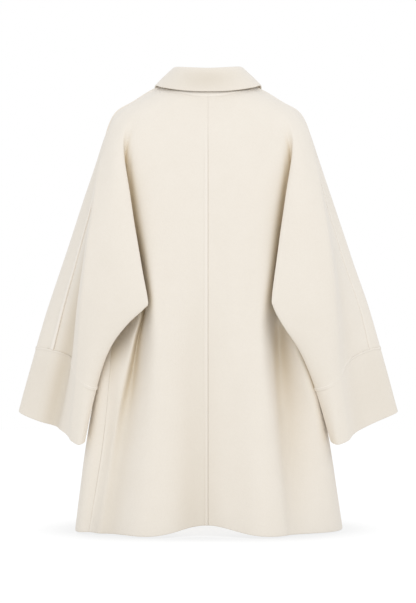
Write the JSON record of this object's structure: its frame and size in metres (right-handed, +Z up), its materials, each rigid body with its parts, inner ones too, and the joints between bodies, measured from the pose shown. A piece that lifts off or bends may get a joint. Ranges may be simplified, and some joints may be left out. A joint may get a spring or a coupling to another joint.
{
  "type": "coat",
  "caption": "Loose wool coat with turned-down collar, grown-on batwing sleeves and deep cuff bands, filled out as worn and open at neck, cuffs and hem",
  "frame": {"origin": "middle of the neck opening at the height where the shoulders carry the coat", "axes": "+X to the wearer's right, +Y to the wearer's front, +Z up; the back of the coat faces -Y"},
  "size_m": [0.7603, 0.3553, 0.9216],
  "materials": {
    "wool": "matte double-faced wool, cream"
  },
  "bodies": {
    "root": {"back_left": "wool", "back_right": "wool", "front_left": "wool", "front_right": "wool", "cuff_left": "wool", "cuff_right": "wool", "collar": "wool"}
  },
  "joints": []
}
